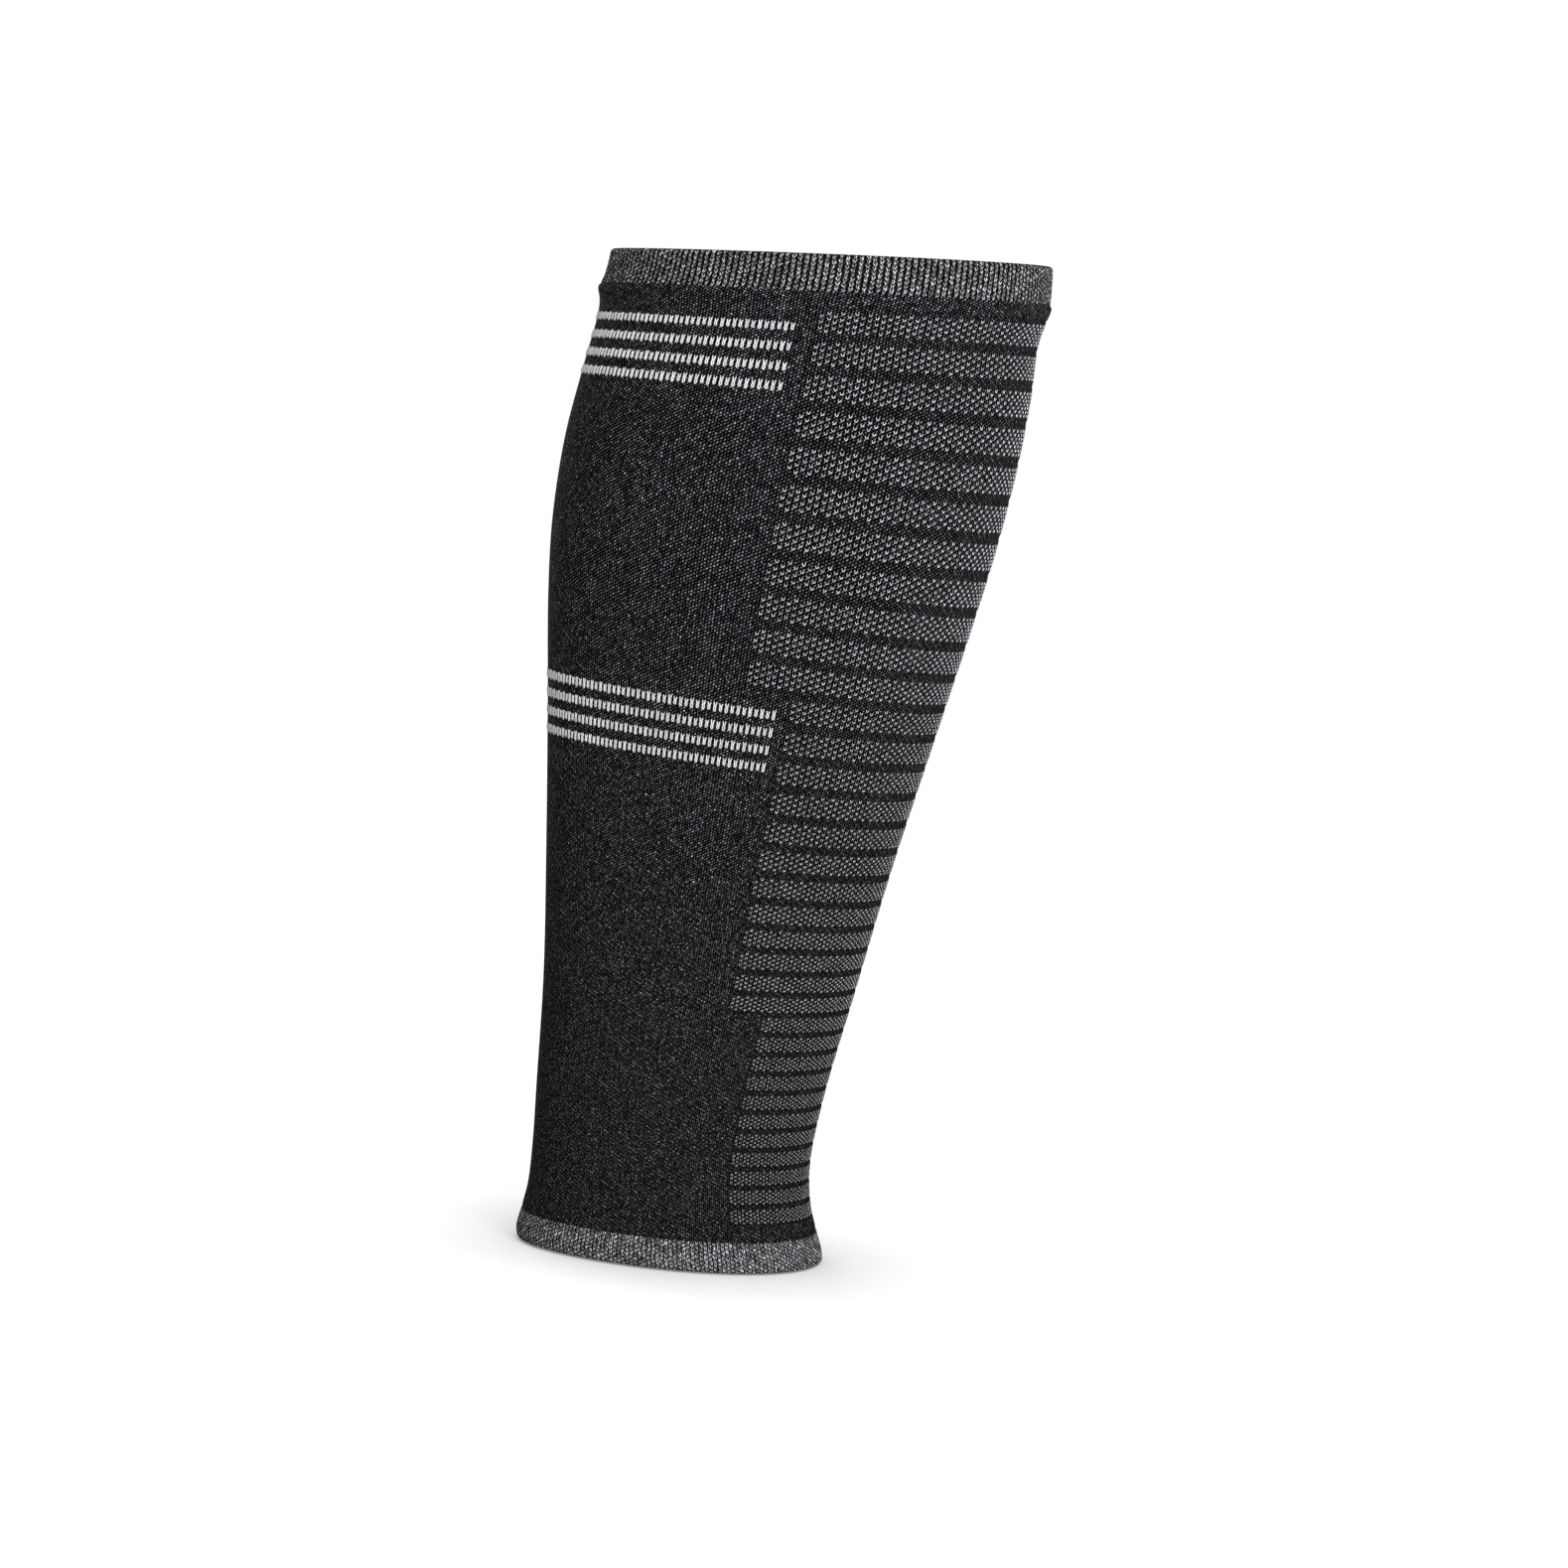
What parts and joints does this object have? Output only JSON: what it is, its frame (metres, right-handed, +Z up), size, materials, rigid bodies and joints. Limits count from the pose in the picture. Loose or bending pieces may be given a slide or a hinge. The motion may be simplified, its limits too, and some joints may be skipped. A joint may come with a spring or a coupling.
{
  "type": "graduated compression calf sleeve",
  "caption": "Seamless knitted calf sleeve in its worn form: charcoal tube, stepped mesh panel in ribbed bands over the calf, ribbed marl cuff and turned ankle hem.",
  "frame": {"origin": "on the leg's axis at the fullest girth of the calf", "axes": "+Z up the leg towards the knee, +X from shin to calf, +Y across the leg"},
  "size_m": [0.1416, 0.1202, 0.3007],
  "materials": {
    "body_knit": "matt charcoal melange knit",
    "mesh_knit": "charcoal mesh knit flecked with light grey loops",
    "marl_knit": "matt grey marl rib knit",
    "stripe_yarn": "matt pale grey yarn"
  },
  "bodies": {
    "root": {"top_cuff": "marl_knit", "leg_body": "body_knit", "calf_panel_upper": "mesh_knit", "calf_panel_middle": "mesh_knit", "calf_panel_lower": "mesh_knit", "ankle_hem": "marl_knit"}
  },
  "joints": []
}
